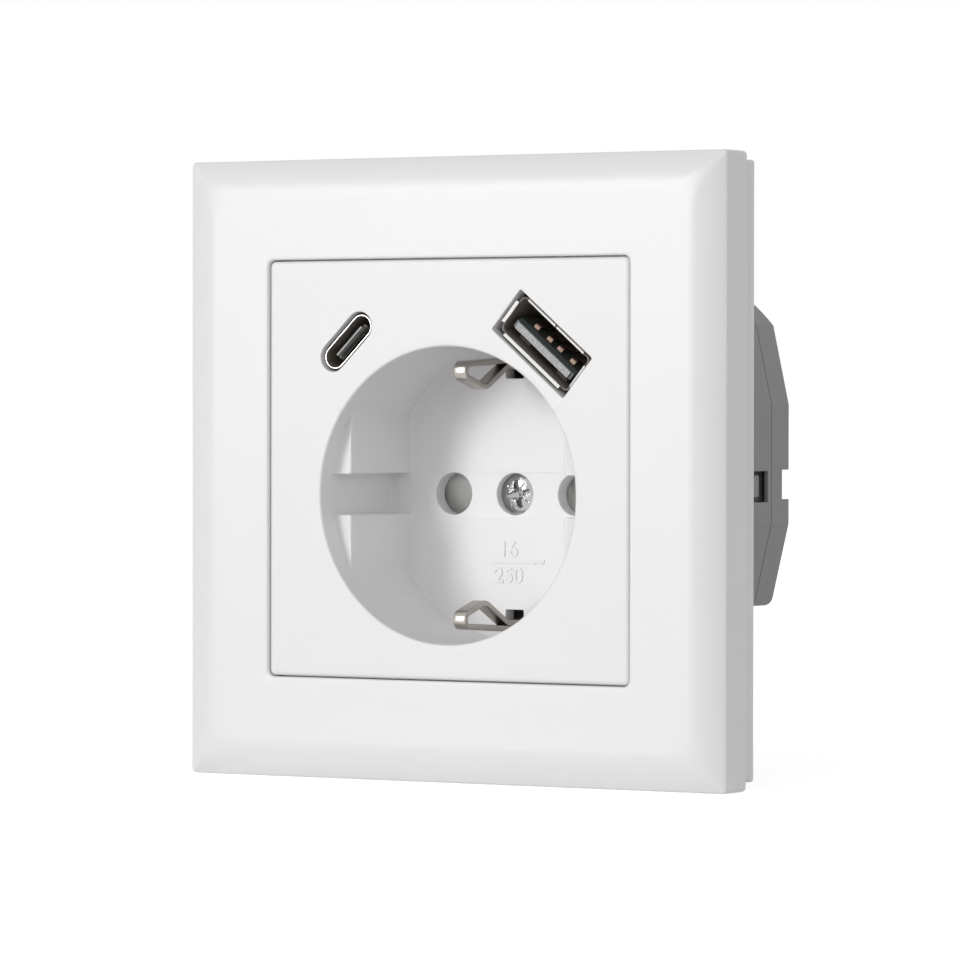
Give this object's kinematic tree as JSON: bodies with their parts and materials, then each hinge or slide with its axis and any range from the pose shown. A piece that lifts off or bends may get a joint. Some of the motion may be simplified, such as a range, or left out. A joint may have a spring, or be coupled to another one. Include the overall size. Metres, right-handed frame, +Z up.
{
  "type": "usb wall socket",
  "caption": "Square flush wall socket with a round earthed plug recess and two charging ports set slantwise above it.",
  "frame": {"origin": "middle of the wall box, in the plane of the wall", "axes": "+X right and +Z up as seen from the room, -Y out of the wall towards the room, +Y into the wall"},
  "size_m": [0.082, 0.0505, 0.082],
  "materials": {
    "white_cover": "satin white urea or polycarbonate moulding",
    "zinc_steel": "bright zinc plating",
    "bright_steel": "nickel plated strip",
    "contact_brass": "bare stamped strip",
    "contact_copper": "plated contact strips",
    "spring_steel": "cold rolled stainless strip",
    "lever_plastic": "orange moulding",
    "shutter_plastic": "light grey moulding",
    "carrier_plastic": "grey moulding",
    "grey_housing": "dark grey moulding",
    "port_steel": "nickel plated folded sheet",
    "tongue_plastic": "light grey moulding",
    "circuit_board": "solder resist on glass fibre",
    "ferrite": "fired ferrite",
    "coil_tape": "yellow tape round the coil",
    "capacitor_can": "sleeved can",
    "fuse_body": "lacquered body",
    "capacitor_resin": "dipped resin",
    "chip_resin": "moulded resin"
  },
  "bodies": {
    "base": {"cover_frame": "white_cover", "centre_plate": "white_cover", "centre_screw": "zinc_steel", "earth_strap": "bright_steel", "earth_link": "contact_brass", "line_contact": "contact_brass", "neutral_contact": "contact_brass", "line_clamp": "spring_steel", "earth_clamp": "spring_steel", "neutral_clamp": "spring_steel", "shutter_spring": "spring_steel", "contact_carrier": "carrier_plastic", "support_ring": "zinc_steel", "front_shell": "grey_housing", "rear_cover": "grey_housing", "usb_a_shell": "port_steel", "usb_a_tongue": "tongue_plastic", "usb_a_contacts": "contact_copper", "usb_c_shell": "port_steel", "usb_c_tongue": "tongue_plastic", "usb_c_contacts": "contact_copper", "usb_board": "circuit_board", "power_board": "circuit_board", "riser_board": "circuit_board", "feed_pins": "contact_brass", "transformer_core": "ferrite", "transformer_coil": "coil_tape", "input_capacitor": "capacitor_can", "output_capacitors": "capacitor_can", "input_fuse": "fuse_body", "suppression_capacitor": "capacitor_resin", "output_inductor": "ferrite", "bridge_rectifier": "chip_resin", "controller_chips": "chip_resin"},
    "shutter": {"safety_shutter": "shutter_plastic"},
    "line_lever": {"line_release": "lever_plastic"},
    "earth_lever": {"earth_release": "lever_plastic"},
    "neutral_lever": {"neutral_release": "lever_plastic"}
  },
  "joints": [
    {"name": "shutter_turn", "type": "hinge", "parent": "base", "child": "shutter", "pos_m": [0, 0.0106, -0.0034], "axis": [0, 1, 0], "range_deg": [0, 38], "stiffness_Nm_per_rad": 0.002, "springref_deg": -17.19, "deforming": ["shutter_spring"]},
    {"name": "line_lever_push", "type": "slide", "parent": "base", "child": "line_lever", "axis": [0, -1, 0], "range_m": [0, 0.0011], "stiffness_N_per_m": 800, "springref_m": -0.0005},
    {"name": "earth_lever_push", "type": "slide", "parent": "base", "child": "earth_lever", "axis": [0, -1, 0], "range_m": [0, 0.0011], "stiffness_N_per_m": 800, "springref_m": -0.0005},
    {"name": "neutral_lever_push", "type": "slide", "parent": "base", "child": "neutral_lever", "axis": [0, -1, 0], "range_m": [0, 0.0011], "stiffness_N_per_m": 800, "springref_m": -0.0005}
  ]
}
